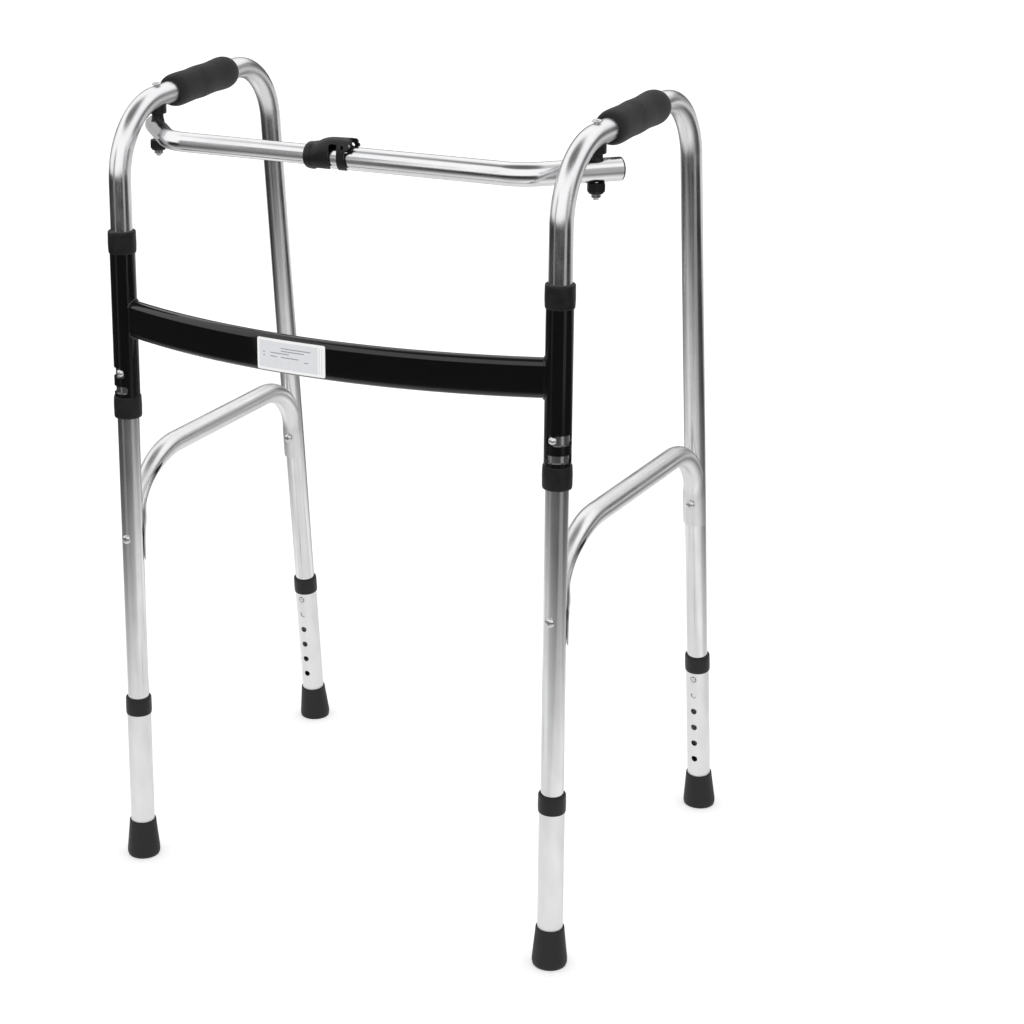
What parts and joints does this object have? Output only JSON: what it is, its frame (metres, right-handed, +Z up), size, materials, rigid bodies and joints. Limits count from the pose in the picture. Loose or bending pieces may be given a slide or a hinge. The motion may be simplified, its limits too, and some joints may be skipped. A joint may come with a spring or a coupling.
{
  "type": "folding walking frame",
  "caption": "Folding walking frame: two bent tube side frames hinged to a front H-frame, telescopic crossbar, foam grips and height-adjustable legs with rubber feet",
  "frame": {"origin": "on the floor, at the bottom centre of the bounding box", "axes": "+Z up; +Y from the front H-frame back to the user; +X to the right-hand side frame as seen from in front, which is the user's left"},
  "size_m": [0.614, 0.518, 0.9549],
  "materials": {
    "bright_aluminium": "polished, drawn tube",
    "satin_aluminium": "satin anodised",
    "frosted_aluminium": "matte, frosted",
    "black_steel": "gloss black paint",
    "black_plastic": "moulded, satin",
    "black_foam": "closed-cell foam, matte",
    "black_rubber": "moulded, matte",
    "zinc_steel": "zinc plated",
    "label_foil": "blank foil plate"
  },
  "bodies": {
    "h_frame": {"front_h_frame": "black_steel", "label_plate": "label_foil", "sleeve_collar_top_right": "black_plastic", "sleeve_collar_top_left": "black_plastic", "sleeve_collar_bottom_right": "black_plastic", "sleeve_collar_bottom_left": "black_plastic"},
    "right_side": {"side_tube_right": "bright_aluminium", "side_brace_right": "satin_aluminium", "grip_right": "black_foam", "upper_saddle_right": "black_plastic", "pivot_bolt_right": "zinc_steel", "pivot_nut_right": "zinc_steel", "pivot_cap_right": "black_plastic", "brace_screw_front_right": "zinc_steel", "brace_screw_rear_right": "zinc_steel", "brace_nut_front_right": "zinc_steel", "brace_nut_rear_right": "zinc_steel"},
    "left_side": {"side_tube_left": "bright_aluminium", "side_brace_left": "satin_aluminium", "grip_left": "black_foam", "upper_saddle_left": "black_plastic", "pivot_bolt_left": "zinc_steel", "pivot_nut_left": "zinc_steel", "pivot_cap_left": "black_plastic", "brace_screw_front_left": "zinc_steel", "brace_screw_rear_left": "zinc_steel", "brace_nut_front_left": "zinc_steel", "brace_nut_rear_left": "zinc_steel"},
    "right_bar": {"cross_tube_right": "bright_aluminium", "bar_plug_right": "black_plastic", "lower_saddle_right": "black_plastic", "lock_collar": "black_plastic"},
    "left_bar": {"cross_tube_left": "bright_aluminium", "bar_plug_left": "black_plastic", "lower_saddle_left": "black_plastic"},
    "lock_lever": {"lock_lever": "black_plastic"},
    "bar_button": {"bar_clip": "zinc_steel"},
    "fold_button_right": {"fold_clip_right": "zinc_steel"},
    "fold_button_left": {"fold_clip_left": "zinc_steel"},
    "snap_button_front_right": {"snap_clip_front_right": "zinc_steel"},
    "leg_front_right": {"extension_front_right": "frosted_aluminium", "extension_collar_front_right": "black_plastic", "foot_front_right": "black_rubber"},
    "snap_button_front_left": {"snap_clip_front_left": "zinc_steel"},
    "leg_front_left": {"extension_front_left": "frosted_aluminium", "extension_collar_front_left": "black_plastic", "foot_front_left": "black_rubber"},
    "snap_button_rear_right": {"snap_clip_rear_right": "zinc_steel"},
    "leg_rear_right": {"extension_rear_right": "frosted_aluminium", "extension_collar_rear_right": "black_plastic", "foot_rear_right": "black_rubber"},
    "snap_button_rear_left": {"snap_clip_rear_left": "zinc_steel"},
    "leg_rear_left": {"extension_rear_left": "frosted_aluminium", "extension_collar_rear_left": "black_plastic", "foot_rear_left": "black_rubber"}
  },
  "joints": [
    {"name": "right_fold", "type": "hinge", "parent": "h_frame", "child": "right_side", "pos_m": [0.2743, -0.2009, 0.65], "axis": [0, 0, 1], "range_deg": [0, 34], "deforming": ["bar_clip"]},
    {"name": "left_fold", "type": "hinge", "parent": "h_frame", "child": "left_side", "pos_m": [-0.2743, -0.2009, 0.65], "axis": [0, 0, 1], "range_deg": [-34, 0]},
    {"name": "right_bar_pivot", "type": "hinge", "parent": "right_side", "child": "right_bar", "pos_m": [0.2767, -0.11793, 0.8898], "axis": [0, 0, 1], "range_deg": [-34, 0]},
    {"name": "left_bar_pivot", "type": "hinge", "parent": "left_side", "child": "left_bar", "pos_m": [-0.2767, -0.11793, 0.8898], "axis": [0, 0, 1], "range_deg": [0, 34]},
    {"name": "lock_lever_press", "type": "hinge", "parent": "right_bar", "child": "lock_lever", "pos_m": [-0.0284, -0.1789, 0.8773], "axis": [0, 1, 0], "range_deg": [0, 6.5], "stiffness_Nm_per_rad": 0.8},
    {"name": "bar_button_press", "type": "slide", "parent": "left_bar", "child": "bar_button", "axis": [0, 0, -1], "range_m": [0, 0.0044]},
    {"name": "fold_button_right_press", "type": "slide", "parent": "right_side", "child": "fold_button_right", "axis": [0.029, 0.9996, 0], "range_m": [0, 0.0034], "stiffness_N_per_m": 500},
    {"name": "snap_button_front_right_press", "type": "slide", "parent": "right_side", "child": "snap_button_front_right", "axis": [-0.029, -0.9996, 0], "range_m": [0, 0.0034], "stiffness_N_per_m": 500},
    {"name": "snap_button_rear_right_press", "type": "slide", "parent": "right_side", "child": "snap_button_rear_right", "axis": [0.0288, 0.9934, 0.1106], "range_m": [0, 0.0034], "stiffness_N_per_m": 500},
    {"name": "leg_front_right_height", "type": "slide", "parent": "right_side", "child": "leg_front_right", "axis": [0, 0, 1], "range_m": [0, 0.115], "deforming": ["snap_clip_front_right"]},
    {"name": "leg_rear_right_height", "type": "slide", "parent": "right_side", "child": "leg_rear_right", "axis": [-0.0032, -0.1106, 0.9939], "range_m": [0, 0.115], "deforming": ["snap_clip_rear_right"]},
    {"name": "fold_button_left_press", "type": "slide", "parent": "left_side", "child": "fold_button_left", "axis": [-0.029, 0.9996, 0], "range_m": [0, 0.0034], "stiffness_N_per_m": 500},
    {"name": "snap_button_front_left_press", "type": "slide", "parent": "left_side", "child": "snap_button_front_left", "axis": [0.029, -0.9996, 0], "range_m": [0, 0.0034], "stiffness_N_per_m": 500},
    {"name": "snap_button_rear_left_press", "type": "slide", "parent": "left_side", "child": "snap_button_rear_left", "axis": [-0.0288, 0.9934, 0.1106], "range_m": [0, 0.0034], "stiffness_N_per_m": 500},
    {"name": "leg_front_left_height", "type": "slide", "parent": "left_side", "child": "leg_front_left", "axis": [0, 0, 1], "range_m": [0, 0.115], "deforming": ["snap_clip_front_left"]},
    {"name": "leg_rear_left_height", "type": "slide", "parent": "left_side", "child": "leg_rear_left", "axis": [0.0032, -0.1106, 0.9939], "range_m": [0, 0.115], "deforming": ["snap_clip_rear_left"]}
  ],
  "couplings": [
    {"joint": "left_fold", "follows": "right_fold", "ratio": -1},
    {"joint": "right_bar_pivot", "follows": "right_fold", "ratio": -1},
    {"joint": "left_bar_pivot", "follows": "right_fold", "ratio": 1},
    {"joint": "bar_button_press", "follows": "lock_lever_press", "m_per_rad": 0.038785}
  ]
}
